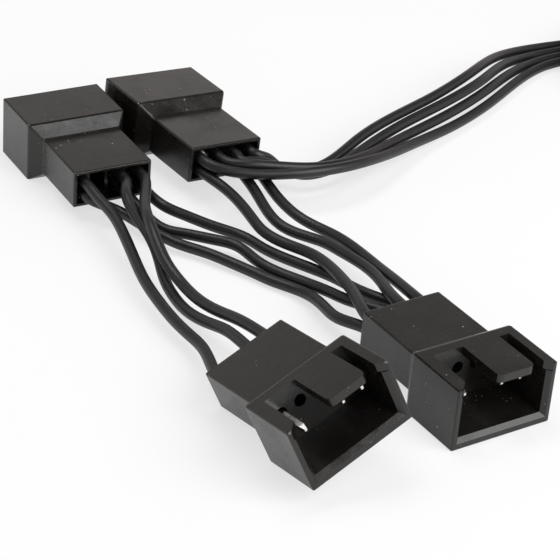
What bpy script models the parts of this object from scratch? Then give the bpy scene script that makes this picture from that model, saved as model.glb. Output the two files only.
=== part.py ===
"""A fan splitter cable: one trunk with a socket, and four keyed pin housings on short jumper wires.

Units are metres, +Z is up and the cable lies on z = 0. Every housing is modelled in its own frame, with
X across the row of circuits, Y from the wire end to the mouth and Z towards the keying tongue.
"""

import math

import bmesh
import bpy
import numpy as np
from mathutils import Euler, Matrix, Vector

MM = 0.001

# Circuits: one row of four at the standard pitch, counted from the tongue's open side.
PITCH = 2.54 * MM
CIRCUIT_PLACE = {"pwm": 1.5, "tach": 0.5, "plus": -0.5, "gnd": -1.5}

# Wires
WIRE_DIAMETER = 1.4 * MM
WIRE_STACK_GAP = 0.26 * MM
WIRE_POINT_STEP = 3.0 * MM
SPLINE_TENSION = 0.75
WIRE_SIDE_RESOLUTION = 2
WIRE_INSET = 2.9 * MM
WIRE_LEAD_OUT = 1.0 * MM
WIRE_ENTRY_DEPTH = 0.2 * MM

# Crimped terminals
TERMINAL_WIDTH = 1.5 * MM
TERMINAL_CLEARANCE = 0.3 * MM
BARREL_LENGTH = 2.8 * MM
BARREL_MARGIN = 0.05 * MM
NECK_LENGTH = 1.0 * MM
NECK_WIDTH = 0.9 * MM
NECK_LOW, NECK_HIGH = -0.5 * MM, 0.8 * MM
BOX_LOW, BOX_HIGH = -0.6 * MM, 1.65 * MM
PIN_SIDE = 0.64 * MM
PIN_HEIGHT = 1.25 * MM
PIN_REACH = 4.8 * MM
PIN_TIP_LENGTH = 0.7 * MM
PIN_TIP_SIDE = 0.3 * MM
TERMINAL_STOP_GAP = 0.3 * MM

# Pin housing: wire body, ramp and shroud
BODY_WALL = 0.5 * MM
PASSAGE_HEIGHT = 3.9 * MM
BODY_LENGTH = 9.8 * MM
RAMP_LENGTH = 1.8 * MM
SHROUD_LENGTH = 8.55 * MM
SHROUD_SIDE_STEP = 1.4 * MM
SHROUD_FACE_STEP = 1.5 * MM
SHROUD_WALL = 1.1 * MM
SHROUD_FLOOR = 1.3 * MM
TONGUE_THICKNESS = 1.0 * MM
END_WALL = 1.65 * MM
END_WALL_LEDGE = 1.3 * MM
ENTRY_DEPTH = 2.0 * MM
ENTRY_WALL = 0.42 * MM
PIN_HOLE_RADIUS = 0.75 * MM
EDGE_ROUND = 0.18 * MM

# Keying: the tongue covers three circuits and stands between a wide and a narrow slot.
TONGUE_SIDE_OPEN = 0.95 * MM
TONGUE_SIDE_CLOSED = -4.05 * MM
WIDE_SLOT = 4.1 * MM
NARROW_SLOT = 1.4 * MM
TONGUE_SETBACK = 0.5 * MM
TONGUE_CORNER = 0.7 * MM
SLOT_START = 0.12 * MM

# Lead-in: the mouth opens at 45 degrees, inside the walls and on both lips beside the tongue.
LEAD_IN = 0.5 * MM
LEAD_OVERLAP = 0.2 * MM
LEAD_ROOF_GAP = 0.05 * MM
LIP_STEP = 0.14 * MM
KEYWAY_OVERLAP = 0.1 * MM

# Socket on the trunk
SOCKET_LENGTH = 12.7 * MM
SOCKET_SLIP = 0.2 * MM
SOCKET_FRONT_WALL = 1.2 * MM
SOCKET_WALL = 0.5 * MM
SOCKET_ROOF = 0.65 * MM
SOCKET_ENTRY = 1.1 * MM
RIB_WIDTH = 0.9 * MM
RIB_HEIGHT = 0.95 * MM
LATCH_WINDOW_WIDTH = 1.1 * MM
LATCH_WINDOW_LENGTH = 2.2 * MM
LATCH_WINDOW_START = 4.4 * MM
CONTACT_BOX_LENGTH = 4.8 * MM
CONTACT_BORE = 0.84 * MM
CONTACT_WALL = 0.15 * MM
CONTACT_BORE_DEPTH = 4.2 * MM

# Coil of the trunk's spare length
COIL_CENTRE = (93.0 * MM, 23.0 * MM)
COIL_MEAN_RADIUS = 13.0 * MM
COIL_LAYERS = 3
COIL_LAYER_PITCH = 1.5 * MM
COIL_MARGIN = 0.05 * MM
COIL_CORNER = 0.7 * MM
COIL_STEPS = 48
RIBBON_PITCH = 1.5 * MM
TOUCH_GAP = 0.3 * MM

CUT_OVERRUN = 0.6 * MM
ROUND_SEGMENTS = 2

# Placement on the table: x and y of the wire end, and the turn about X, Y and Z.
HOUSING_PLACE = {
    "a": ((-4.1 * MM, 22.1 * MM), (180.0, 0.0, 176.1)),
    "b": ((11.85 * MM, 21.05 * MM), (180.0, -4.0, -178.7)),
    "c": ((-10.6 * MM, -21.75 * MM), (11.7, 22.1, -176.4)),
    "d": ((10.1 * MM, -21.0 * MM), (0.0, 0.0, 180.0)),
}
HOUSING_CIRCUITS = {
    "a": ("pwm", "plus", "gnd"),
    "b": ("pwm", "tach", "plus", "gnd"),
    "c": ("pwm", "plus", "gnd"),
    "d": ("pwm", "plus", "gnd"),
}
SINGLE_WIRE_HOUSINGS = ("c",)
SOCKET_PLACE = (106.0 * MM, -12.5 * MM)

# Jumpers: from housing, level there, to housing, level there, and the route between them in millimetres.
JUMPERS = {
    "jumper_b_d_pwm": ("b", 1, "d", 1, "pwm", (
        (8.7, 16.5, 3.5), (8.8, 11.8, 3.1), (8.4, 8.3, 2.8), (8.2, 5.6, 2.6), (8.8, 2.7, 2.5),
        (9.7, 0.2, 2.6), (10.3, -2.5, 2.9), (10.1, -6.4, 3.4), (9.3, -10.4, 3.9), (8.1, -14.6, 4.4),
    )),
    "jumper_b_d_plus": ("b", 1, "d", 1, "plus", (
        (12.2, 14, 3.2), (11.3, 9.8, 2.8), (11.1, 6.2, 2.5), (12, 3.8, 2.3), (13.6, 0.6, 2.4),
        (14, -2.5, 2.7), (14.1, -7.7, 3.3), (13.3, -12.3, 3.9), (12.1, -16, 4.4),
    )),
    "jumper_b_d_gnd": ("b", 1, "d", 1, "gnd", (
        (14.4, 12.8, 3), (14.1, 9.5, 2.8), (14.3, 6.6, 2.6), (15.1, 4, 2.4), (15.8, 1.2, 2.5),
        (16, -3.1, 2.8), (15.5, -9.2, 3.3), (14.7, -13.8, 4.1),
    )),
    "jumper_a_d_gnd": ("a", 1, "d", -1, "gnd", (
        (-0.1, 15.9, 2.9), (1.5, 14, 2.3), (4.1, 10.8, 1.6), (6.6, 7.4, 1.2), (7.4, 4.1, 1.1),
        (9, -1, 1.3), (10.6, -6, 1.7), (10.8, -9.2, 2.2), (11.5, -13.4, 2.7),
    )),
    "jumper_a_d_plus": ("a", 1, "d", -1, "plus", (
        (-2, 13.2, 1.6), (-0.3, 10.8, 1.6), (2.3, 7.7, 1.7), (4.2, 5.3, 1.6), (4.7, 1.7, 1.4),
        (5.5, -1.5, 1.3), (6.8, -4.4, 1.3), (8.2, -9.5, 1.9), (8.6, -13.2, 2.6),
    )),
    "jumper_a_d_pwm": ("a", 1, "d", -1, "pwm", (
        (-5.5, 19.1, 2.1), (-4.5, 17, 1.8), (-3.6, 13.1, 1.7), (-1.7, 9, 1.3), (0.2, 6.1, 1.2),
        (1.8, 2.9, 1.1), (3.4, -0.4, 0.9), (4.3, -2.8, 0.9), (5.8, -6, 1), (6.3, -8.9, 1.3),
        (5.7, -12.6, 1.9), (5.3, -16, 2.5),
    )),
    "jumper_a_c_pwm": ("a", -1, "c", 0, "pwm", (
        (-8, 18.7, 4.4), (-7.9, 15.3, 3.9), (-8.5, 11.3, 3.3), (-9.6, 6.7, 2.7), (-10.7, 2, 2.2),
        (-11.4, -2.6, 2), (-11.8, -7.2, 1.9), (-11.9, -10.9, 2), (-12.2, -14.5, 2.2),
    )),
    "jumper_a_c_plus": ("a", -1, "c", 0, "plus", (
        (-5, 17.1, 5.3), (-5.6, 15.2, 4.9), (-6.2, 11.4, 4.4), (-6.5, 8.1, 3.8), (-6.8, 5.6, 2.6),
        (-7.8, 2.3, 1.6), (-8.6, -1.7, 1.2), (-9.1, -6.1, 1.6), (-9, -10.5, 2.6), (-8.9, -14.2, 3.6),
    )),
    "jumper_a_c_gnd": ("a", -1, "c", 0, "gnd", (
        (-4.3, 13.6, 5.4), (-6.2, 9.2, 5.7), (-7.1, 5.6, 4.8), (-7.5, 2.2, 3.5), (-7.5, -1.2, 2.7),
        (-7.7, -5.5, 2.8), (-7.5, -9.9, 3.5), (-7.2, -14.1, 4.5),
    )),
}

# Trunk: each wire's route in millimetres, from the second housing up to the coil.
TRUNK_ORDER = ("pwm", "tach", "plus", "gnd")
TRUNK_ROUTES = {
    "pwm": (
        (8.7, 18.5, 5.3), (11.5, 16.2, 4.9), (15.3, 14.3, 4.8), (19.9, 12.7, 4.9), (25, 12.6, 4.6),
        (29.6, 13.7, 4), (35, 16, 2.9), (41.6, 19, 1.8), (49.6, 22, 1.1), (59.5, 26.1, 1),
        (69, 31, 0.9), (75.6, 33.4, 0.8),
    ),
    "tach": (
        (11.2, 18.5, 5.3), (13.4, 16.8, 5.4), (16.6, 15.5, 5.1), (20.3, 14.3, 4.7), (24.9, 14.2, 4.2),
        (29.3, 15.3, 3.7), (34.5, 17.6, 3), (41.2, 20.5, 2.4), (49.4, 23.3, 2.3), (59, 27.3, 2.2),
        (68.5, 32.4, 1.5), (75.8, 34.95, 0.9),
    ),
    "plus": (
        (13.1, 19, 5), (15.1, 18, 4.9), (18.1, 16.2, 3.9), (20.1, 15.2, 3.3), (24.4, 15.3, 3),
        (28.9, 16.8, 3.1), (34, 19.2, 3.1), (40.7, 21.8, 3.3), (49.1, 24.4, 3.5), (59, 28.2, 3.6),
        (68, 33.8, 2.3), (76.2, 36.5, 1.1),
    ),
    "gnd": (
        (17.4, 19.8, 4.2), (18.4, 20, 3.4), (19.1, 19.4, 2.7), (20.5, 17.8, 2.4), (24.3, 17.1, 2.7),
        (28.7, 18.5, 3.2), (32.9, 20.4, 3.7), (39.8, 22.9, 4.1), (48.7, 25.7, 4.3), (58, 29.4, 4.6),
        (67.5, 35.2, 3), (76.6, 38, 1.5),
    ),
}

# Sizes that follow from those above
PASSAGE_WIDTH = TERMINAL_WIDTH + 2 * TERMINAL_CLEARANCE
BODY_WIDTH = 3 * PITCH + PASSAGE_WIDTH + 2 * BODY_WALL
BODY_HEIGHT = PASSAGE_HEIGHT + 2 * BODY_WALL
SHROUD_WIDTH = BODY_WIDTH + 2 * SHROUD_SIDE_STEP
SHROUD_HEIGHT = BODY_HEIGHT + 2 * SHROUD_FACE_STEP
SHROUD_REAR = BODY_LENGTH + RAMP_LENGTH
MOUTH = SHROUD_REAR + SHROUD_LENGTH
CAVITY_BACK = SHROUD_REAR + END_WALL_LEDGE
PASSAGE_END = CAVITY_BACK - END_WALL
CAVITY_HALF_WIDTH = SHROUD_WIDTH / 2 - SHROUD_WALL
CAVITY_LOW = -SHROUD_HEIGHT / 2 + SHROUD_FLOOR
CAVITY_HIGH = SHROUD_HEIGHT / 2 - TONGUE_THICKNESS
STACK_LEVEL = (WIRE_DIAMETER + WIRE_STACK_GAP) / 2
BARREL_REAR = WIRE_INSET + TOUCH_GAP
DOUBLE_BARREL = STACK_LEVEL + WIRE_DIAMETER / 2 + BARREL_MARGIN
SINGLE_BARREL = WIRE_DIAMETER / 2 + 3 * BARREL_MARGIN
BOX_END = PASSAGE_END - TERMINAL_STOP_GAP
RIBBON_HALF = 1.5 * RIBBON_PITCH + WIRE_DIAMETER / 2
COIL_HALF_WIDTH = RIBBON_HALF + COIL_MARGIN
COIL_OUTER = COIL_MEAN_RADIUS + COIL_HALF_WIDTH
COIL_INNER = COIL_MEAN_RADIUS - COIL_HALF_WIDTH
COIL_HEIGHT = COIL_LAYERS * COIL_LAYER_PITCH + WIRE_DIAMETER / 2 - COIL_MARGIN
COIL_FIRST_LAYER = WIRE_DIAMETER / 2 + COIL_MARGIN
COIL_LAST_LAYER = COIL_HEIGHT - WIRE_DIAMETER / 2 - COIL_MARGIN
SOCKET_TOP = CAVITY_HIGH - SOCKET_SLIP
SOCKET_BOTTOM = CAVITY_LOW + SOCKET_SLIP
CONTACT_WAY_LOW = SOCKET_BOTTOM + SOCKET_WALL
CONTACT_WAY_HIGH = SOCKET_TOP - SOCKET_ROOF
CONTACT_TOP = PIN_HEIGHT + CONTACT_BORE / 2 + CONTACT_WALL
SOCKET_WIDTH = 3 * PITCH + PASSAGE_WIDTH + 2 * SOCKET_WALL
SOCKET_REAR_BARREL = SOCKET_LENGTH - WIRE_INSET - TOUCH_GAP

PALETTE = {
    "housing_black": ((0.020, 0.0195, 0.0185), 0.40, 0.0),
    "wire_black": ((0.013, 0.013, 0.0135), 0.42, 0.0),
    "tinned_metal": ((0.78, 0.77, 0.74), 0.24, 1.0),
}


def clear_scene():
    for obj in list(bpy.data.objects):
        bpy.data.objects.remove(obj, do_unlink=True)


def make_collection(name):
    group = bpy.data.collections.new(name)
    bpy.context.scene.collection.children.link(group)
    return group


def make_material(name):
    colour, roughness, metallic = PALETTE[name]
    material = bpy.data.materials.new(name)
    material.use_nodes = True
    shader = material.node_tree.nodes["Principled BSDF"]
    shader.inputs["Base Color"].default_value = (*colour, 1.0)
    shader.inputs["Roughness"].default_value = roughness
    shader.inputs["Metallic"].default_value = metallic
    return material


def mesh_from(bm, name):
    bmesh.ops.recalc_face_normals(bm, faces=bm.faces)
    mesh = bpy.data.meshes.new(name)
    bm.to_mesh(mesh)
    bm.free()
    return mesh


def box_mesh(name, low, high):
    """A cube primitive stretched between two opposite corners."""
    bm = bmesh.new()
    bmesh.ops.create_cube(bm, size=1.0)
    size = Vector(high) - Vector(low)
    middle = (Vector(high) + Vector(low)) / 2
    bmesh.ops.scale(bm, vec=size, verts=bm.verts)
    bmesh.ops.translate(bm, vec=middle, verts=bm.verts)
    return mesh_from(bm, name)


def stepped_bar_mesh(name, sections):
    """A box whose front face is pushed forward section by section: (y, width, low z, high z) each."""
    bm = bmesh.new()
    bmesh.ops.create_cube(bm, size=1.0)
    front = next(face for face in bm.faces if face.normal.y > 0.5)
    rear = next(face for face in bm.faces if face.normal.y < -0.5)
    shape_face(rear, sections[0])
    shape_face(front, sections[1])
    for section in sections[2:]:
        grown = bmesh.ops.extrude_discrete_faces(bm, faces=[front])
        front = grown["faces"][0]
        shape_face(front, section)
    return mesh_from(bm, name)


def shape_face(face, section):
    y, width, low, high = section
    middle = face.calc_center_median()
    for vert in face.verts:
        side = math.copysign(width / 2, vert.co.x - middle.x)
        vert.co = Vector((side, y, high if vert.co.z > middle.z else low))


def add_object(name, mesh, group, material=None):
    obj = bpy.data.objects.new(name, mesh)
    group.objects.link(obj)
    if material is not None and not mesh.materials:
        mesh.materials.append(material)
    return obj


def as_guide(obj):
    obj.hide_render = True
    obj.display_type = "WIRE"
    return obj


def outline_mesh(name, points, thickness):
    """A flat outline with thickness, from a filled 2D curve."""
    curve = bpy.data.curves.new(name, "CURVE")
    curve.dimensions = "2D"
    curve.fill_mode = "BOTH"
    curve.extrude = thickness / 2
    spline = curve.splines.new("POLY")
    spline.points.add(len(points) - 1)
    for point, (x, y) in zip(spline.points, points):
        point.co = (x, y, 0.0, 1.0)
    spline.use_cyclic_u = True
    holder = bpy.data.objects.new(name, curve)
    bpy.context.scene.collection.objects.link(holder)
    bpy.context.view_layer.update()
    graph = bpy.context.evaluated_depsgraph_get()
    mesh = bpy.data.meshes.new_from_object(holder.evaluated_get(graph))
    bpy.data.objects.remove(holder, do_unlink=True)
    bm = bmesh.new()
    bm.from_mesh(mesh)
    bmesh.ops.remove_doubles(bm, verts=bm.verts, dist=0.00001)
    bmesh.ops.recalc_face_normals(bm, faces=bm.faces)
    bm.to_mesh(mesh)
    bm.free()
    return mesh


def boolean(target, tool, operation="DIFFERENCE"):
    step = target.modifiers.new(tool.name, "BOOLEAN")
    step.operation = operation
    step.object = tool
    step.solver = "EXACT"


def round_edges(target, width):
    step = target.modifiers.new("edge_round", "BEVEL")
    step.width = width
    step.segments = ROUND_SEGMENTS
    step.limit_method = "ANGLE"
    step.angle_limit = math.radians(20)


def finished_mesh(obj, name):
    bpy.context.view_layer.update()
    graph = bpy.context.evaluated_depsgraph_get()
    mesh = bpy.data.meshes.new_from_object(obj.evaluated_get(graph))
    mesh.name = name
    return mesh


def corner_arc(centre, radius, start, end, count=5):
    """Points along a rounded corner, with its angles in degrees."""
    angles = np.radians(np.linspace(start, end, count))
    return [(centre[0] + radius * math.cos(a), centre[1] + radius * math.sin(a)) for a in angles]


def keyway_outline():
    """The opening in the shroud's tongue side: both slots, the space ahead of the tongue and the lip chamfers."""
    back = CAVITY_BACK + SLOT_START
    ahead = MOUTH + CUT_OVERRUN
    wide = TONGUE_SIDE_OPEN + WIDE_SLOT
    narrow = TONGUE_SIDE_CLOSED - NARROW_SLOT
    tongue_front = MOUTH - TONGUE_SETBACK
    corner = TONGUE_CORNER
    opened = CAVITY_HALF_WIDTH + LEAD_IN + LIP_STEP
    points = [(wide, back), (wide, MOUTH - opened + wide), (opened + CUT_OVERRUN, ahead)]
    points += [(-opened - CUT_OVERRUN, ahead), (narrow, MOUTH - opened - narrow), (narrow, back)]
    points += [(TONGUE_SIDE_CLOSED, back)]
    points += corner_arc((TONGUE_SIDE_CLOSED + corner, tongue_front - corner), corner, 180, 90)
    points += corner_arc((TONGUE_SIDE_OPEN - corner, tongue_front - corner), corner, 90, 0)
    points += [(TONGUE_SIDE_OPEN, back)]
    return points


def build_pin_housing(guides):
    """The moulded housing: a box pushed out into the ramp and the shroud, then hollowed from both ends."""
    half, tall = BODY_HEIGHT / 2, SHROUD_HEIGHT / 2
    sections = [
        (0.0, BODY_WIDTH, -half, half),
        (BODY_LENGTH, BODY_WIDTH, -half, half),
        (SHROUD_REAR, SHROUD_WIDTH, -tall, tall),
        (MOUTH, SHROUD_WIDTH, -tall, tall),
    ]
    housing = as_guide(add_object("housing_master", stepped_bar_mesh("housing_block", sections), guides))
    round_edges(housing, EDGE_ROUND)

    def cut(name, low, high):
        boolean(housing, as_guide(add_object(name, box_mesh(name, low, high), guides)))

    passage = PASSAGE_HEIGHT / 2
    entry_x = BODY_WIDTH / 2 - ENTRY_WALL
    entry_z = BODY_HEIGHT / 2 - ENTRY_WALL
    cut("cut_entry", (-entry_x, -CUT_OVERRUN, -entry_z), (entry_x, ENTRY_DEPTH, entry_z))
    for circuit, place in CIRCUIT_PLACE.items():
        x = place * PITCH
        cut("cut_passage_" + circuit, (x - PASSAGE_WIDTH / 2, ENTRY_DEPTH - CUT_OVERRUN, -passage),
            (x + PASSAGE_WIDTH / 2, PASSAGE_END, passage))
        bm = bmesh.new()
        bmesh.ops.create_cone(bm, cap_ends=True, segments=16, radius1=PIN_HOLE_RADIUS, radius2=PIN_HOLE_RADIUS,
                              depth=END_WALL + 2 * CUT_OVERRUN)
        bmesh.ops.rotate(bm, cent=(0, 0, 0), matrix=Matrix.Rotation(math.pi / 2, 3, "X"), verts=bm.verts)
        bmesh.ops.translate(bm, vec=(x, CAVITY_BACK - END_WALL / 2, PIN_HEIGHT), verts=bm.verts)
        hole = as_guide(add_object("cut_pin_hole_" + circuit, mesh_from(bm, "pin_hole"), guides))
        boolean(housing, hole)
    cut("cut_cavity", (-CAVITY_HALF_WIDTH, CAVITY_BACK, CAVITY_LOW),
        (CAVITY_HALF_WIDTH, MOUTH + CUT_OVERRUN, CAVITY_HIGH))

    low, high = CAVITY_HIGH - KEYWAY_OVERLAP, CAVITY_HIGH + TONGUE_THICKNESS + CUT_OVERRUN
    keyway = as_guide(add_object("cut_keyway", outline_mesh("keyway", keyway_outline(), high - low), guides))
    keyway.location.z = (low + high) / 2
    boolean(housing, keyway)

    under = CAVITY_HIGH - LEAD_ROOF_GAP
    inner, outer = -LEAD_OVERLAP, LEAD_IN + CUT_OVERRUN
    lead = stepped_bar_mesh("lead_in", [
        (MOUTH - LEAD_IN + inner, 2 * (CAVITY_HALF_WIDTH + inner), CAVITY_LOW - inner, under),
        (MOUTH - LEAD_IN + outer, 2 * (CAVITY_HALF_WIDTH + outer), CAVITY_LOW - outer, under),
    ])
    boolean(housing, as_guide(add_object("cut_lead_in", lead, guides)))
    return finished_mesh(housing, "pin_housing")


def terminal_mesh(name, barrel_half):
    """A crimp barrel, a neck, a box section and the square pin with its tapered tip."""
    tip = CAVITY_BACK + PIN_REACH
    half = PIN_SIDE / 2
    low, high = PIN_HEIGHT - half, PIN_HEIGHT + half
    barrel_end = BARREL_REAR + BARREL_LENGTH
    neck_end = barrel_end + NECK_LENGTH
    return stepped_bar_mesh(name, [
        (BARREL_REAR, TERMINAL_WIDTH, -barrel_half, barrel_half),
        (barrel_end, TERMINAL_WIDTH, -barrel_half, barrel_half),
        (barrel_end, NECK_WIDTH, NECK_LOW, NECK_HIGH),
        (neck_end, NECK_WIDTH, NECK_LOW, NECK_HIGH),
        (neck_end, TERMINAL_WIDTH, BOX_LOW, BOX_HIGH),
        (BOX_END, TERMINAL_WIDTH, BOX_LOW, BOX_HIGH),
        (BOX_END, PIN_SIDE, low, high),
        (tip - PIN_TIP_LENGTH, PIN_SIDE, low, high),
        (tip, PIN_TIP_SIDE, PIN_HEIGHT - PIN_TIP_SIDE / 2, PIN_HEIGHT + PIN_TIP_SIDE / 2),
    ])


def build_socket(guides):
    """The four-way socket: its ribs straddle the tongue of a pin housing, and it slides inside the shroud."""
    half = SOCKET_WIDTH / 2
    low, high = (-half, 0.0, SOCKET_BOTTOM), (half, SOCKET_LENGTH, SOCKET_TOP)
    socket = as_guide(add_object("socket_master", box_mesh("socket_block", low, high), guides))
    ribs = {
        "open": TONGUE_SIDE_OPEN + SOCKET_SLIP,
        "closed": TONGUE_SIDE_CLOSED - SOCKET_SLIP - RIB_WIDTH,
    }
    for side, x in ribs.items():
        mesh = box_mesh("rib", (x, 0.0, SOCKET_TOP - SOCKET_WALL),
                        (x + RIB_WIDTH, SOCKET_LENGTH, SOCKET_TOP + RIB_HEIGHT))
        boolean(socket, as_guide(add_object("join_rib_" + side, mesh, guides)), "UNION")
    window_end = LATCH_WINDOW_START + LATCH_WINDOW_LENGTH
    entry = SOCKET_ENTRY / 2
    for circuit, place in CIRCUIT_PLACE.items():
        x = place * PITCH
        boxes = {
            "cut_contact_way_": ((x - PASSAGE_WIDTH / 2, SOCKET_FRONT_WALL, CONTACT_WAY_LOW),
                                 (x + PASSAGE_WIDTH / 2, SOCKET_LENGTH + CUT_OVERRUN, CONTACT_WAY_HIGH)),
            "cut_contact_entry_": ((x - entry, -CUT_OVERRUN, PIN_HEIGHT - entry),
                                   (x + entry, SOCKET_FRONT_WALL + CUT_OVERRUN, PIN_HEIGHT + entry)),
            "cut_latch_window_": ((x - LATCH_WINDOW_WIDTH / 2, LATCH_WINDOW_START, SOCKET_BOTTOM - CUT_OVERRUN),
                                  (x + LATCH_WINDOW_WIDTH / 2, window_end, 0.0)),
        }
        for prefix, (low, high) in boxes.items():
            tool = as_guide(add_object(prefix + circuit, box_mesh(prefix + circuit, low, high), guides))
            boolean(socket, tool)
    return finished_mesh(socket, "socket")


def build_contact(guides):
    """A socket contact: a square sleeve for the pin, a neck and a single crimp barrel."""
    front = SOCKET_FRONT_WALL + TERMINAL_STOP_GAP
    box_end = front + CONTACT_BOX_LENGTH
    barrel_front = SOCKET_REAR_BARREL - BARREL_LENGTH
    mesh = stepped_bar_mesh("contact_block", [
        (front, TERMINAL_WIDTH, BOX_LOW, CONTACT_TOP),
        (box_end, TERMINAL_WIDTH, BOX_LOW, CONTACT_TOP),
        (box_end, NECK_WIDTH, NECK_LOW, NECK_HIGH),
        (barrel_front, NECK_WIDTH, NECK_LOW, NECK_HIGH),
        (barrel_front, TERMINAL_WIDTH, -SINGLE_BARREL, SINGLE_BARREL),
        (SOCKET_REAR_BARREL, TERMINAL_WIDTH, -SINGLE_BARREL, SINGLE_BARREL),
    ])
    contact = as_guide(add_object("contact_master", mesh, guides))
    half = CONTACT_BORE / 2
    bore = box_mesh("contact_bore", (-half, front - CUT_OVERRUN, PIN_HEIGHT - half),
                    (half, front + CONTACT_BORE_DEPTH, PIN_HEIGHT + half))
    boolean(contact, as_guide(add_object("cut_contact_bore", bore, guides)))
    return finished_mesh(contact, "contact")


def natural_spline(points, spacing):
    """Points along a natural cubic spline through the route, one about every spacing."""
    route = np.array(points, dtype=float)
    length = np.linalg.norm(np.diff(route, axis=0), axis=1)
    chord = length ** SPLINE_TENSION
    at = np.concatenate(([0.0], np.cumsum(chord)))
    count = len(route)
    system = np.eye(count)
    right = np.zeros((count, 3))
    for i in range(1, count - 1):
        system[i, i - 1:i + 2] = (chord[i - 1], 2 * (chord[i - 1] + chord[i]), chord[i])
        right[i] = 6 * ((route[i + 1] - route[i]) / chord[i] - (route[i] - route[i - 1]) / chord[i - 1])
    bend = np.linalg.solve(system, right)
    steps = max(4, int(round(length.sum() / spacing)))
    out = []
    for s in np.linspace(0.0, at[-1], steps + 1):
        i = min(int(np.searchsorted(at, s, side="right")) - 1, count - 2)
        h, a, b = chord[i], at[i + 1] - s, s - at[i]
        out.append(bend[i] * a ** 3 / (6 * h) + bend[i + 1] * b ** 3 / (6 * h)
                   + (route[i] / h - bend[i] * h / 6) * a + (route[i + 1] / h - bend[i + 1] * h / 6) * b)
    return out


def add_wire(name, route, group, material):
    points = natural_spline(route, WIRE_POINT_STEP)
    curve = bpy.data.curves.new(name, "CURVE")
    curve.dimensions = "3D"
    curve.bevel_depth = WIRE_DIAMETER / 2
    curve.bevel_resolution = WIRE_SIDE_RESOLUTION
    curve.use_fill_caps = True
    spline = curve.splines.new("POLY")
    spline.points.add(len(points) - 1)
    for point, place in zip(spline.points, points):
        point.co = (*place, 1.0)
    curve.materials.append(material)
    obj = bpy.data.objects.new(name, curve)
    group.objects.link(obj)
    return obj


def housing_matrix(key):
    """Lays a housing on the table: turned as given, then raised until its lowest corner touches z = 0."""
    (x, y), turns = HOUSING_PLACE[key]
    turn = Euler([math.radians(t) for t in turns]).to_matrix()
    half_width, half_height = SHROUD_WIDTH / 2, SHROUD_HEIGHT / 2
    corners = [Vector((sx * half_width, end, sz * half_height)) for sx in (-1, 1) for sz in (-1, 1)
               for end in (SHROUD_REAR, MOUTH)]
    corners += [Vector((sx * BODY_WIDTH / 2, 0.0, sz * BODY_HEIGHT / 2)) for sx in (-1, 1) for sz in (-1, 1)]
    lowest = min((turn @ corner).z for corner in corners)
    return Matrix.Translation((x, y, -lowest)) @ turn.to_4x4()


def wire_end(key, circuit, level, outwards):
    """Route points of a wire in a housing, from the crimp out of the wire end, or the other way."""
    place = housing_matrix(key)
    x, z = CIRCUIT_PLACE[circuit] * PITCH, level * STACK_LEVEL
    run = [place @ Vector((x, y, z)) for y in (WIRE_INSET, WIRE_ENTRY_DEPTH, -WIRE_LEAD_OUT)]
    return run if outwards else run[::-1]


def in_metres(route):
    return [Vector(point) * MM for point in route]


def coil_lane(index):
    return COIL_MEAN_RADIUS + (index - 1.5) * RIBBON_PITCH


def coil_reach(lane):
    """How far before the coil's middle a straight wire in this lane meets the coil's outside."""
    edge = COIL_OUTER + TOUCH_GAP
    inner = max(lane - WIRE_DIAMETER / 2, 0.0)
    return math.sqrt(edge ** 2 - inner ** 2)


def trunk_route(index):
    circuit = TRUNK_ORDER[index]
    lane = coil_lane(index)
    meet = COIL_CENTRE[0] - coil_reach(lane)
    y = COIL_CENTRE[1] + lane
    start = wire_end("b", circuit, -1, True)
    return start + in_metres(TRUNK_ROUTES[circuit]) + [Vector((meet, y, COIL_FIRST_LAYER))]


def socket_matrix():
    """The socket lies on its ribs, with its mating face towards -Y."""
    turn = Matrix.Rotation(math.pi, 4, "Y")
    return Matrix.Translation((SOCKET_PLACE[0], SOCKET_PLACE[1], SOCKET_TOP + RIB_HEIGHT)) @ turn


def tail_route(index):
    circuit = TRUNK_ORDER[index]
    lane = coil_lane(index)
    x = COIL_CENTRE[0] + lane
    start_y = COIL_CENTRE[1] - coil_reach(lane)
    place = socket_matrix()
    across = CIRCUIT_PLACE[circuit] * PITCH
    depths = (SOCKET_LENGTH + WIRE_LEAD_OUT, SOCKET_LENGTH - WIRE_ENTRY_DEPTH, SOCKET_LENGTH - WIRE_INSET)
    start = [Vector((x, start_y, COIL_LAST_LAYER)), Vector((x, start_y - WIRE_LEAD_OUT, COIL_LAST_LAYER))]
    return start + [place @ Vector((across, y, 0.0)) for y in depths]


def coil_mesh(guides):
    """The coil's outer shape: a rounded section turned about the coil's axis."""
    corner = COIL_CORNER
    top, outer, inner = COIL_HEIGHT, COIL_OUTER, COIL_INNER
    profile = corner_arc((inner + corner, top - corner), corner, 180, 90, 4)
    profile += corner_arc((outer - corner, top - corner), corner, 90, 0, 4)
    profile += corner_arc((outer - corner, corner), corner, 0, -90, 4)
    profile += corner_arc((inner + corner, corner), corner, -90, -180, 4)
    bm = bmesh.new()
    verts = [bm.verts.new((x, 0.0, z)) for x, z in profile]
    for i, vert in enumerate(verts):
        bm.edges.new((vert, verts[(i + 1) % len(verts)]))
    mesh = bpy.data.meshes.new("coil_profile")
    bm.to_mesh(mesh)
    bm.free()
    holder = as_guide(add_object("coil_section", mesh, guides))
    screw = holder.modifiers.new("turn", "SCREW")
    screw.steps = COIL_STEPS
    screw.render_steps = COIL_STEPS
    screw.use_merge_vertices = True
    screw.merge_threshold = 0.00001
    coil = finished_mesh(holder, "coil")
    bpy.data.objects.remove(holder, do_unlink=True)
    bm = bmesh.new()
    bm.from_mesh(coil)
    bmesh.ops.remove_doubles(bm, verts=bm.verts, dist=0.00001)
    bmesh.ops.recalc_face_normals(bm, faces=bm.faces)
    bm.to_mesh(coil)
    bm.free()
    return coil


def smooth(mesh, angle):
    mesh.shade_smooth()
    mesh.set_sharp_from_angle(angle=math.radians(angle))


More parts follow.
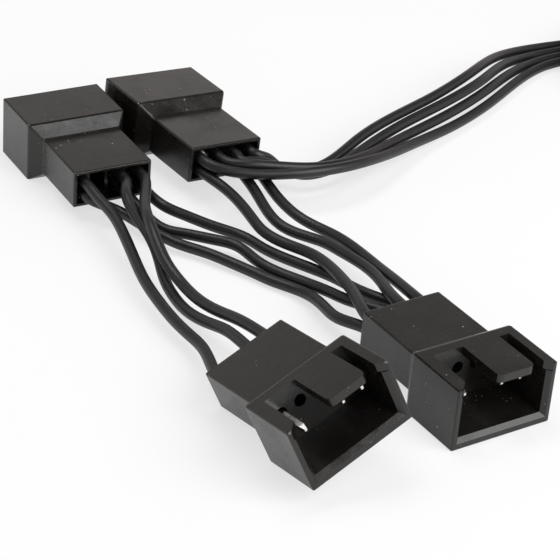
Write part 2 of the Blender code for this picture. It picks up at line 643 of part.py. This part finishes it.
def main():
    clear_scene()
    parts = make_collection("fan_splitter_cable")
    guides = make_collection("cutters")
    materials = {name: make_material(name) for name in PALETTE}

    housing = build_pin_housing(guides)
    housing.materials.append(materials["housing_black"])
    smooth(housing, 30)
    double = terminal_mesh("terminal_double", DOUBLE_BARREL)
    single = terminal_mesh("terminal_single", SINGLE_BARREL)
    for key, circuits in HOUSING_CIRCUITS.items():
        place = housing_matrix(key)
        obj = add_object("housing_" + key, housing, parts)
        obj.matrix_world = place
        for circuit in circuits:
            mesh = single if key in SINGLE_WIRE_HOUSINGS else double
            pin = add_object(f"terminal_{key}_{circuit}", mesh, parts, materials["tinned_metal"])
            pin.matrix_world = place @ Matrix.Translation((CIRCUIT_PLACE[circuit] * PITCH, 0.0, 0.0))

    for name, (start, start_level, end, end_level, circuit, route) in JUMPERS.items():
        whole = wire_end(start, circuit, start_level, True) + in_metres(route)
        whole += wire_end(end, circuit, end_level, False)
        add_wire(name, whole, parts, materials["wire_black"])

    socket = add_object("socket_housing", build_socket(guides), parts, materials["housing_black"])
    socket.matrix_world = socket_matrix()
    contact = build_contact(guides)
    for index, circuit in enumerate(TRUNK_ORDER):
        add_wire("trunk_" + circuit, trunk_route(index), parts, materials["wire_black"])
        add_wire("tail_" + circuit, tail_route(index), parts, materials["wire_black"])
        piece = add_object("contact_" + circuit, contact, parts, materials["tinned_metal"])
        piece.matrix_world = socket_matrix() @ Matrix.Translation((CIRCUIT_PLACE[circuit] * PITCH, 0.0, 0.0))

    coil = add_object("trunk_coil", coil_mesh(guides), parts, materials["wire_black"])
    coil.location = (*COIL_CENTRE, 0.0)
    smooth(coil.data, 50)


main()
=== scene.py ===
import math

import bmesh
import bpy
import numpy as np
from mathutils import Euler, Matrix, Vector


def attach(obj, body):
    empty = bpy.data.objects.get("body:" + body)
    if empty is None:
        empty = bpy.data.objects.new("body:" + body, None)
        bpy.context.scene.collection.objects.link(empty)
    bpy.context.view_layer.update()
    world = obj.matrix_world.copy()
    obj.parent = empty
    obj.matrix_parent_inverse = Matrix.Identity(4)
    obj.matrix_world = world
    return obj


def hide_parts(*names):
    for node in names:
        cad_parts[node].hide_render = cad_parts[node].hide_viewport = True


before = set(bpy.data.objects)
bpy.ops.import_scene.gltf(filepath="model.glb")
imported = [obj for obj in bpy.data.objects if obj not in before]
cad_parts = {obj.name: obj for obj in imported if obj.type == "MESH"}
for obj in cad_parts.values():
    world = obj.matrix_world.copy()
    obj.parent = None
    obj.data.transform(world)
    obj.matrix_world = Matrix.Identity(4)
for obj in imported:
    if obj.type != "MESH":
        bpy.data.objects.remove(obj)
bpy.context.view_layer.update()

MM = 0.001
scene = bpy.context.scene


def squared(direction, axis):
    """The part of a direction at right angles to an axis, as a unit vector."""
    return (direction - axis * direction.dot(axis)).normalized()


# Camera: the photograph's view
PHOTO_PIXELS, FOCAL_PIXELS, SENSOR_WIDTH = 560, 2145.9, 36.0
CLIP_NEAR, CLIP_FAR = 0.01, 20.0
CAMERA_PLACE = Vector((-123.08, -187.76, 132.07)) * MM
CAMERA_RIGHT = Vector((0.8423, -0.5341, 0.0728)).normalized()
CAMERA_UP = squared(Vector((0.2175, 0.4603, 0.8607)), CAMERA_RIGHT)
camera_data = bpy.data.cameras.new("camera")
camera_data.sensor_width = SENSOR_WIDTH
camera_data.lens = FOCAL_PIXELS / PHOTO_PIXELS * SENSOR_WIDTH
camera_data.clip_start = CLIP_NEAR
camera_data.clip_end = CLIP_FAR
camera = bpy.data.objects.new("camera", camera_data)
turn = Matrix((CAMERA_RIGHT, CAMERA_UP, CAMERA_RIGHT.cross(CAMERA_UP))).transposed()
camera.matrix_world = Matrix.Translation(CAMERA_PLACE) @ turn.to_4x4()
scene.collection.objects.link(camera)
scene.camera = camera

# Sizes and routes, as in the CAD model
PITCH = 2.54 * MM
CIRCUIT_PLACE = {"pwm": 1.5, "tach": 0.5, "plus": -0.5, "gnd": -1.5}
WIRE_DIAMETER = 1.4 * MM
WIRE_STACK_GAP = 0.26 * MM
STACK_LEVEL = (WIRE_DIAMETER + WIRE_STACK_GAP) / 2
WIRE_INSET, WIRE_ENTRY_DEPTH, WIRE_LEAD_OUT = 2.9 * MM, 0.2 * MM, 1.0 * MM
SPLINE_TENSION = 0.75
BODY = (10.72 * MM, 4.9 * MM)
SHROUD = (13.52 * MM, 7.9 * MM)
SHROUD_REAR, MOUTH = 11.6 * MM, 20.15 * MM
SOCKET_LENGTH, SOCKET_TOP, RIB_HEIGHT = 12.7 * MM, 2.75 * MM, 0.95 * MM
SOCKET_PLACE = (106.0 * MM, -12.5 * MM)
COIL_CENTRE = (93.0 * MM, 23.0 * MM)
COIL_MEAN_RADIUS = 13.0 * MM
COIL_FIRST_LAYER, COIL_LAST_LAYER = 0.75 * MM, 4.4 * MM
COIL_TURNS = 2.25
COIL_MARGIN, TOUCH_GAP = 0.05 * MM, 0.3 * MM
RIBBON_PITCH, RIBBON_MIDDLE = 1.5 * MM, 1.5
COIL_EDGE = COIL_MEAN_RADIUS + RIBBON_MIDDLE * RIBBON_PITCH + WIRE_DIAMETER / 2 + COIL_MARGIN + TOUCH_GAP

# How finely the wires are drawn
WIRE_POINT_SPACING = 0.8 * MM
COIL_TURN_STEPS = 56
WIRE_ROUNDNESS = 8

# Housing: x and y of its place, and its turns in degrees
HOUSING_PLACE = {
    "a": ((-4.1 * MM, 22.1 * MM), (180.0, 0.0, 176.1)),
    "b": ((11.85 * MM, 21.05 * MM), (180.0, -4.0, -178.7)),
    "c": ((-10.6 * MM, -21.75 * MM), (11.7, 22.1, -176.4)),
    "d": ((10.1 * MM, -21.0 * MM), (0.0, 0.0, 180.0)),
}

# Jumper: housing and level that it starts from, those that it ends in, circuit, and route in millimetres
JUMPERS = {
    "jumper_b_d_pwm": ("b", 1, "d", 1, "pwm", (
        (8.7, 16.5, 3.5), (8.8, 11.8, 3.1), (8.4, 8.3, 2.8), (8.2, 5.6, 2.6), (8.8, 2.7, 2.5),
        (9.7, 0.2, 2.6), (10.3, -2.5, 2.9), (10.1, -6.4, 3.4), (9.3, -10.4, 3.9), (8.1, -14.6, 4.4),
    )),
    "jumper_b_d_plus": ("b", 1, "d", 1, "plus", (
        (12.2, 14, 3.2), (11.3, 9.8, 2.8), (11.1, 6.2, 2.5), (12, 3.8, 2.3), (13.6, 0.6, 2.4),
        (14, -2.5, 2.7), (14.1, -7.7, 3.3), (13.3, -12.3, 3.9), (12.1, -16, 4.4),
    )),
    "jumper_b_d_gnd": ("b", 1, "d", 1, "gnd", (
        (14.4, 12.8, 3), (14.1, 9.5, 2.8), (14.3, 6.6, 2.6), (15.1, 4, 2.4), (15.8, 1.2, 2.5),
        (16, -3.1, 2.8), (15.5, -9.2, 3.3), (14.7, -13.8, 4.1),
    )),
    "jumper_a_d_gnd": ("a", 1, "d", -1, "gnd", (
        (-0.1, 15.9, 2.9), (1.5, 14, 2.3), (4.1, 10.8, 1.6), (6.6, 7.4, 1.2), (7.4, 4.1, 1.1),
        (9, -1, 1.3), (10.6, -6, 1.7), (10.8, -9.2, 2.2), (11.5, -13.4, 2.7),
    )),
    "jumper_a_d_plus": ("a", 1, "d", -1, "plus", (
        (-2, 13.2, 1.6), (-0.3, 10.8, 1.6), (2.3, 7.7, 1.7), (4.2, 5.3, 1.6), (4.7, 1.7, 1.4),
        (5.5, -1.5, 1.3), (6.8, -4.4, 1.3), (8.2, -9.5, 1.9), (8.6, -13.2, 2.6),
    )),
    "jumper_a_d_pwm": ("a", 1, "d", -1, "pwm", (
        (-5.5, 19.1, 2.1), (-4.5, 17, 1.8), (-3.6, 13.1, 1.7), (-1.7, 9, 1.3), (0.2, 6.1, 1.2),
        (1.8, 2.9, 1.1), (3.4, -0.4, 0.9), (4.3, -2.8, 0.9), (5.8, -6, 1), (6.3, -8.9, 1.3),
        (5.7, -12.6, 1.9), (5.3, -16, 2.5),
    )),
    "jumper_a_c_pwm": ("a", -1, "c", 0, "pwm", (
        (-8, 18.7, 4.4), (-7.9, 15.3, 3.9), (-8.5, 11.3, 3.3), (-9.6, 6.7, 2.7), (-10.7, 2, 2.2),
        (-11.4, -2.6, 2), (-11.8, -7.2, 1.9), (-11.9, -10.9, 2), (-12.2, -14.5, 2.2),
    )),
    "jumper_a_c_plus": ("a", -1, "c", 0, "plus", (
        (-5, 17.1, 5.3), (-5.6, 15.2, 4.9), (-6.2, 11.4, 4.4), (-6.5, 8.1, 3.8), (-6.8, 5.6, 2.6),
        (-7.8, 2.3, 1.6), (-8.6, -1.7, 1.2), (-9.1, -6.1, 1.6), (-9, -10.5, 2.6), (-8.9, -14.2, 3.6),
    )),
    "jumper_a_c_gnd": ("a", -1, "c", 0, "gnd", (
        (-4.3, 13.6, 5.4), (-6.2, 9.2, 5.7), (-7.1, 5.6, 4.8), (-7.5, 2.2, 3.5), (-7.5, -1.2, 2.7),
        (-7.7, -5.5, 2.8), (-7.5, -9.9, 3.5), (-7.2, -14.1, 4.5),
    )),
}

# Trunk: each wire's route in millimetres, from housing b to the coil
TRUNK_ORDER = ("pwm", "tach", "plus", "gnd")
TRUNK_ROUTES = {
    "pwm": (
        (8.7, 18.5, 5.3), (11.5, 16.2, 4.9), (15.3, 14.3, 4.8), (19.9, 12.7, 4.9), (25, 12.6, 4.6),
        (29.6, 13.7, 4), (35, 16, 2.9), (41.6, 19, 1.8), (49.6, 22, 1.1), (59.5, 26.1, 1),
        (69, 31, 0.9), (75.6, 33.4, 0.8),
    ),
    "tach": (
        (11.2, 18.5, 5.3), (13.4, 16.8, 5.4), (16.6, 15.5, 5.1), (20.3, 14.3, 4.7), (24.9, 14.2, 4.2),
        (29.3, 15.3, 3.7), (34.5, 17.6, 3), (41.2, 20.5, 2.4), (49.4, 23.3, 2.3), (59, 27.3, 2.2),
        (68.5, 32.4, 1.5), (75.8, 34.95, 0.9),
    ),
    "plus": (
        (13.1, 19, 5), (15.1, 18, 4.9), (18.1, 16.2, 3.9), (20.1, 15.2, 3.3), (24.4, 15.3, 3),
        (28.9, 16.8, 3.1), (34, 19.2, 3.1), (40.7, 21.8, 3.3), (49.1, 24.4, 3.5), (59, 28.2, 3.6),
        (68, 33.8, 2.3), (76.2, 36.5, 1.1),
    ),
    "gnd": (
        (17.4, 19.8, 4.2), (18.4, 20, 3.4), (19.1, 19.4, 2.7), (20.5, 17.8, 2.4), (24.3, 17.1, 2.7),
        (28.7, 18.5, 3.2), (32.9, 20.4, 3.7), (39.8, 22.9, 4.1), (48.7, 25.7, 4.3), (58, 29.4, 4.6),
        (67.5, 35.2, 3), (76.6, 38, 1.5),
    ),
}


def natural_spline(points):
    """Points about WIRE_POINT_SPACING apart on a natural cubic spline through the given ones."""
    route = np.array([tuple(p) for p in points], dtype=float)
    length = np.linalg.norm(np.diff(route, axis=0), axis=1)
    chord = length ** SPLINE_TENSION
    at = np.concatenate(([0.0], np.cumsum(chord)))
    count = len(route)
    system, right = np.eye(count), np.zeros((count, 3))
    for i in range(1, count - 1):
        system[i, i - 1:i + 2] = (chord[i - 1], 2 * (chord[i - 1] + chord[i]), chord[i])
        right[i] = 6 * ((route[i + 1] - route[i]) / chord[i] - (route[i] - route[i - 1]) / chord[i - 1])
    bend = np.linalg.solve(system, right)
    steps = int(round(length.sum() / WIRE_POINT_SPACING))
    out = []
    for s in np.linspace(0.0, at[-1], steps + 1):
        i = min(int(np.searchsorted(at, s, side="right")) - 1, count - 2)
        h, a, b = chord[i], at[i + 1] - s, s - at[i]
        out.append(bend[i] * a ** 3 / (6 * h) + bend[i + 1] * b ** 3 / (6 * h)
                   + (route[i] / h - bend[i] * h / 6) * a
                   + (route[i + 1] / h - bend[i + 1] * h / 6) * b)
    return out


def housing_matrix(key):
    """Turns a housing about its wire end and sets it down with its lowest corner on the floor."""
    (x, y), turns = HOUSING_PLACE[key]
    spin = Euler([math.radians(t) for t in turns]).to_matrix()
    corners = [Vector((side * width / 2, end, face * height / 2))
               for (width, height), end in ((BODY, 0.0), (SHROUD, SHROUD_REAR), (SHROUD, MOUTH))
               for side in (-1, 1) for face in (-1, 1)]
    lowest = min((spin @ corner).z for corner in corners)
    return Matrix.Translation((x, y, -lowest)) @ spin.to_4x4()


def wire_end(key, circuit, level, outwards):
    """The three points that lead a wire straight out of its housing, or into it."""
    place = housing_matrix(key)
    x, z = CIRCUIT_PLACE[circuit] * PITCH, level * STACK_LEVEL
    run = [place @ Vector((x, y, z)) for y in (WIRE_INSET, WIRE_ENTRY_DEPTH, -WIRE_LEAD_OUT)]
    return run if outwards else run[::-1]


def in_metres(route):
    return [Vector(point) * MM for point in route]


def coil_lane(index):
    """The radius of a wire's own turns in the coil."""
    return COIL_MEAN_RADIUS + (index - RIBBON_MIDDLE) * RIBBON_PITCH


def coil_reach(lane):
    """How far from the coil's centre line a straight wire in this lane meets the coil's outer shape."""
    return math.sqrt(COIL_EDGE ** 2 - max(lane - WIRE_DIAMETER / 2, 0.0) ** 2)


def trunk_route(index):
    circuit = TRUNK_ORDER[index]
    lane = coil_lane(index)
    meet = COIL_CENTRE[0] - coil_reach(lane)
    y = COIL_CENTRE[1] + lane
    start = wire_end("b", circuit, -1, True)
    return start + in_metres(TRUNK_ROUTES[circuit]) + [Vector((meet, y, COIL_FIRST_LAYER))]


def socket_matrix():
    spin = Matrix.Rotation(math.pi, 4, "Y")
    return Matrix.Translation((SOCKET_PLACE[0], SOCKET_PLACE[1], SOCKET_TOP + RIB_HEIGHT)) @ spin


def tail_route(index):
    lane = coil_lane(index)
    x = COIL_CENTRE[0] + lane
    start_y = COIL_CENTRE[1] - coil_reach(lane)
    start = [Vector((x, y, COIL_LAST_LAYER)) for y in (start_y, start_y - WIRE_LEAD_OUT)]
    place = socket_matrix()
    across = CIRCUIT_PLACE[TRUNK_ORDER[index]] * PITCH
    depths = (-WIRE_LEAD_OUT, WIRE_ENTRY_DEPTH, WIRE_INSET)
    return start + [place @ Vector((across, SOCKET_LENGTH - depth, 0.0)) for depth in depths]


def coil_turns(index):
    """The wire's own line inside the coil, from where the trunk meets it to where the tail leaves."""
    lane = coil_lane(index)
    steps = int(COIL_TURNS * COIL_TURN_STEPS)
    out = []
    for step in range(steps + 1):
        t = step / steps
        angle = math.pi / 2 - t * COIL_TURNS * 2 * math.pi
        x = COIL_CENTRE[0] + lane * math.cos(angle)
        y = COIL_CENTRE[1] + lane * math.sin(angle)
        z = COIL_FIRST_LAYER + (COIL_LAST_LAYER - COIL_FIRST_LAYER) * t
        out.append(Vector((x, y, z)))
    return out


# Surfaces: noise and speck scales are per metre, and bump depths in metres.
NYLON_SHADES = (0.0085, 0.0074, 0.0066), (0.0125, 0.0110, 0.0098)
NYLON_DUST = (0.50, 0.49, 0.47)
NYLON_GRAIN_SHARE = 0.7
NYLON_ROUGHNESS, NYLON_STREAK, NYLON_SMEAR = 0.13, 0.08, 0.12
WIRE_SHADES = (0.0050, 0.0050, 0.0052), (0.0090, 0.0088, 0.0088)
WIRE_DUST, WIRE_DUST_SHARE = (0.16, 0.16, 0.155), 0.5
WIRE_ROUGHNESS, WIRE_GRAIN = 0.32, 0.16
PLASTIC_IOR = 1.50
TIN_SHADES = (0.60, 0.59, 0.56), (0.86, 0.85, 0.82)
TIN_ROUGHNESS, TIN_GRAIN = 0.16, 0.18
PAPER_SHADES = 0.905, 0.925
PAPER_ROUGHNESS, PAPER_SPECULAR = 0.9, 0.2
FLOOR_WHITE_SEEN, FLOOR_WHITE_MIRRORED = 0.66, 0.42
SPECK_CORE = 0.6


def fill_ramp(node, start, end, values):
    """Sets a colour ramp to go from one value or colour at start to the other at end."""
    for element, position, value in zip(node.color_ramp.elements, (start, end), values):
        element.position = position
        element.color = (*value, 1.0) if isinstance(value, tuple) else (value, value, value, 1.0)


class Surface:
    """A Principled material with a short way to add and join its texture nodes."""

    def __init__(self, name):
        self.material = bpy.data.materials.new(name)
        self.material.use_nodes = True
        self.tree = self.material.node_tree
        self.shader = self.tree.nodes["Principled BSDF"]
        coordinates = self.tree.nodes.new("ShaderNodeTexCoord")
        self.place = coordinates.outputs["Object"]

    def link(self, source, target):
        self.tree.links.new(source, target)

    def put(self, value, socket):
        """Sets a plain number or colour on a socket, or links a texture to it."""
        if isinstance(value, (int, float)):
            socket.default_value = value
        elif isinstance(value, tuple):
            socket.default_value = (*value, 1.0)
        else:
            self.link(value, socket)

    def noise(self, scale, detail=2.0, rough=0.55):
        node = self.tree.nodes.new("ShaderNodeTexNoise")
        node.inputs["Scale"].default_value = scale
        node.inputs["Detail"].default_value = detail
        node.inputs["Roughness"].default_value = rough
        self.link(self.place, node.inputs["Vector"])
        return node.outputs["Fac"]

    def specks(self, scale, size):
        """1 in small dots scattered over the surface, 0 between them."""
        node = self.tree.nodes.new("ShaderNodeTexVoronoi")
        node.inputs["Scale"].default_value = scale
        self.link(self.place, node.inputs["Vector"])
        return self.ramp(node.outputs["Distance"], size * SPECK_CORE, size, (1.0, 0.0))

    def ramp(self, source, start, end, values=(0.0, 1.0)):
        node = self.tree.nodes.new("ShaderNodeValToRGB")
        fill_ramp(node, start, end, values)
        self.link(source, node.inputs["Fac"])
        return node.outputs["Color"]

    def maths(self, operation, a, b):
        node = self.tree.nodes.new("ShaderNodeMath")
        node.operation = operation
        for socket, value in zip(node.inputs, (a, b)):
            self.put(value, socket)
        return node.outputs[0]

    def spread(self, source, amount, least):
        """A texture of 0 to 1 as a number from least to least plus amount."""
        return self.maths("ADD", self.maths("MULTIPLY", source, amount), least)

    def mix(self, factor, a, b, blend="MIX"):
        node = self.tree.nodes.new("ShaderNodeMix")
        node.data_type = "RGBA"
        node.blend_type = blend
        sockets = {s.identifier: s for s in node.inputs}
        for key, value in (("Factor_Float", factor), ("A_Color", a), ("B_Color", b)):
            self.put(value, sockets[key])
        return next(s for s in node.outputs if s.identifier == "Result_Color")

    def bump(self, height, depth, strength, under=None):
        node = self.tree.nodes.new("ShaderNodeBump")
        node.inputs["Distance"].default_value = depth
        node.inputs["Strength"].default_value = strength
        self.link(height, node.inputs["Height"])
        if under is not None:
            self.link(under, node.inputs["Normal"])
        return node.outputs["Normal"]

    def finish(self, **values):
        """Gives the shader its colours, numbers and textures, by the names of its sockets."""
        for name, value in values.items():
            self.put(value, self.shader.inputs[name.replace("_", " ")])


def housing_surface():
    """Black nylon: cloudy colour, fine grain, uneven gloss, low blotches and sparse dust."""
    s = Surface("housing_nylon")
    cloud = s.noise(scale=420, detail=5.0, rough=0.6)
    grain = s.noise(scale=14000, rough=0.5)
    blotch = s.noise(scale=1100, detail=4.0, rough=0.6)
    streak = s.noise(scale=2600, detail=4.0, rough=0.7)
    base = s.ramp(cloud, 0.30, 0.72, NYLON_SHADES)
    fine = s.ramp(grain, 0.35, 0.68, (0.86, 1.0))
    colour = s.mix(NYLON_GRAIN_SHARE, base, fine, "MULTIPLY")
    few_here = s.ramp(s.noise(scale=260), 0.52, 0.55)
    few = s.maths("MULTIPLY", s.specks(scale=620, size=0.058), few_here)
    tiny_here = s.ramp(s.noise(scale=380), 0.555, 0.60, (0.0, 0.6))
    tiny = s.maths("MULTIPLY", s.specks(scale=1300, size=0.095), tiny_here)
    colour = s.mix(s.maths("MAXIMUM", few, tiny), colour, NYLON_DUST)
    rough = s.spread(s.ramp(streak, 0.3, 0.7), NYLON_STREAK, NYLON_ROUGHNESS)
    smear = s.ramp(s.noise(scale=190, detail=3.0, rough=0.6), 0.40, 0.62)
    rough = s.maths("ADD", rough, s.maths("MULTIPLY", smear, NYLON_SMEAR))
    normal = s.bump(blotch, depth=0.00004, strength=0.28)
    normal = s.bump(grain, depth=0.000012, strength=0.06, under=normal)
    s.finish(Base_Color=colour, Roughness=rough, IOR=PLASTIC_IOR, Normal=normal)
    return s.material


def wire_surface():
    """Black insulation, a little duller and rougher than the housings."""
    s = Surface("wire_insulation")
    cloud = s.noise(scale=700, detail=4.0, rough=0.6)
    grain = s.noise(scale=11000, rough=0.5)
    base = s.ramp(cloud, 0.30, 0.75, WIRE_SHADES)
    dust_here = s.ramp(s.noise(scale=500), 0.55, 0.62)
    dust = s.maths("MULTIPLY", s.specks(scale=1700, size=0.06), dust_here)
    colour = s.mix(s.maths("MULTIPLY", dust, WIRE_DUST_SHARE), base, WIRE_DUST)
    rough = s.spread(s.ramp(grain, 0.3, 0.7), WIRE_GRAIN, WIRE_ROUGHNESS)
    normal = s.bump(cloud, depth=0.00008, strength=0.3)
    normal = s.bump(grain, depth=0.000014, strength=0.55, under=normal)
    s.finish(Base_Color=colour, Roughness=rough, IOR=PLASTIC_IOR, Normal=normal)
    return s.material


def tin_surface():
    """Tin plate with varied tint and gloss."""
    s = Surface("terminal_tin")
    cloud = s.noise(scale=1800, detail=4.0, rough=0.6)
    fine = s.noise(scale=15000, rough=0.5)
    colour = s.ramp(cloud, 0.3, 0.7, TIN_SHADES)
    rough = s.spread(fine, TIN_GRAIN, TIN_ROUGHNESS)
    normal = s.bump(fine, depth=0.000008, strength=0.5)
    s.finish(Base_Color=colour, Roughness=rough, Metallic=1.0, Normal=normal)
    return s.material


def floor_surface():
    """White paper that adds a share of its own white, less of it where another surface mirrors it."""
    s = Surface("floor_paper")
    colour = s.ramp(s.noise(scale=30), 0.3, 0.7, PAPER_SHADES)
    s.finish(Base_Color=colour, Roughness=PAPER_ROUGHNESS, Specular_IOR_Level=PAPER_SPECULAR)
    rays = s.tree.nodes.new("ShaderNodeLightPath")
    seen = s.maths("MULTIPLY", rays.outputs["Is Camera Ray"], FLOOR_WHITE_SEEN)
    mirrored = s.maths("MAXIMUM", rays.outputs["Is Glossy Ray"], rays.outputs["Is Transmission Ray"])
    mirrored = s.maths("MULTIPLY", mirrored, FLOOR_WHITE_MIRRORED)
    white = s.tree.nodes.new("ShaderNodeEmission")
    join = s.tree.nodes.new("ShaderNodeMixShader")
    sources = (s.maths("MAXIMUM", seen, mirrored), s.shader.outputs[0], white.outputs[0])
    for source, socket in zip(sources, join.inputs):
        s.link(source, socket)
    s.link(join.outputs[0], s.tree.nodes["Material Output"].inputs["Surface"])
    return s.material


NYLON, INSULATION, TIN = housing_surface(), wire_surface(), tin_surface()


# Wires
def add_wire(name, points, replaced):
    """A wire through the points, which stands for the CAD nodes that it replaces."""
    curve = bpy.data.curves.new(name, "CURVE")
    curve.dimensions = "3D"
    curve.bevel_depth = WIRE_DIAMETER / 2
    curve.bevel_resolution = WIRE_ROUNDNESS
    curve.use_fill_caps = True
    spline = curve.splines.new("POLY")
    spline.points.add(len(points) - 1)
    for point, place in zip(spline.points, points):
        point.co = (*place, 1.0)
    curve.materials.append(INSULATION)
    obj = bpy.data.objects.new(name, curve)
    scene.collection.objects.link(obj)
    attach(obj, "root")
    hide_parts(*replaced)
    return obj


for name, (start, start_level, end, end_level, circuit, route) in JUMPERS.items():
    whole = wire_end(start, circuit, start_level, True) + in_metres(route)
    whole += wire_end(end, circuit, end_level, False)
    points = natural_spline(whole)
    wire = add_wire("wire_" + name, points, [name])

for index, circuit in enumerate(TRUNK_ORDER):
    approach = natural_spline(trunk_route(index))
    leaving = natural_spline(tail_route(index))
    points = [Vector(p) for p in approach] + coil_turns(index) + [Vector(p) for p in leaving]
    replaced = ["trunk_" + circuit, "tail_" + circuit] + (["trunk_coil"] if index == 0 else [])
    wire = add_wire("wire_trunk_" + circuit, points, replaced)

# Housings and terminals
for name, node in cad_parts.items():
    if name.startswith(("housing", "socket")):
        finish = NYLON
    elif name.startswith(("terminal", "contact")):
        finish = TIN
    else:
        continue
    for slot in node.material_slots:
        slot.material = finish

# Floor, a hair's breadth under the housings
FLOOR_HALF_SIDE, FLOOR_PLACE = 3.0, (0.05, 0.0, -0.00002)
mesh = bpy.data.meshes.new("floor")
bm = bmesh.new()
bmesh.ops.create_grid(bm, x_segments=1, y_segments=1, size=FLOOR_HALF_SIDE)
bm.to_mesh(mesh)
bm.free()
mesh.materials.append(floor_surface())
floor = bpy.data.objects.new("floor", mesh)
floor.location = FLOOR_PLACE
scene.collection.objects.link(floor)

# Room: pale, slightly warm walls and a dark ceiling. A height is the sine of the angle above the floor,
# so the walls are pale up to 24 degrees and fade into the ceiling by 37.
WALL_TOP, CEILING_START = 0.41, 0.60
WALL_COLOUR, CEILING_COLOUR = (0.74, 0.70, 0.685), (0.10, 0.10, 0.10)
world = bpy.data.worlds.new("world")
scene.world = world
world.use_nodes = True
nodes, links = world.node_tree.nodes, world.node_tree.links
towards = nodes.new("ShaderNodeTexCoord")
height = nodes.new("ShaderNodeSeparateXYZ")
room = nodes.new("ShaderNodeValToRGB")
fill_ramp(room, WALL_TOP, CEILING_START, (WALL_COLOUR, CEILING_COLOUR))
links.new(towards.outputs["Generated"], height.inputs[0])
links.new(height.outputs["Z"], room.inputs["Fac"])
links.new(room.outputs["Color"], nodes["Background"].inputs["Color"])


def area_light(name, place, side, size, power):
    """A rectangular lamp that faces the origin, its first side turned towards the given direction."""
    data = bpy.data.lights.new(name, "AREA")
    data.shape = "RECTANGLE"
    data.size, data.size_y = size
    data.energy = power
    lamp = bpy.data.objects.new(name, data)
    lamp.location = place
    lamp.rotation_mode = "QUATERNION"
    back = Vector(place).normalized()
    across = squared(Vector(side), back)
    lamp.rotation_quaternion = Matrix((across, back.cross(across), back)).transposed().to_quaternion()
    scene.collection.objects.link(lamp)


area_light("softbox", place=(0.207, -0.498, 0.490), side=(0.632, -0.468, -0.618),
           size=(0.60, 0.68), power=5.1)
area_light("top", place=(-0.10, 0.28, 0.74), side=(1.0, 0.0, 0.0),
           size=(0.60, 0.26), power=2.2)

scene.view_settings.view_transform = "Standard"
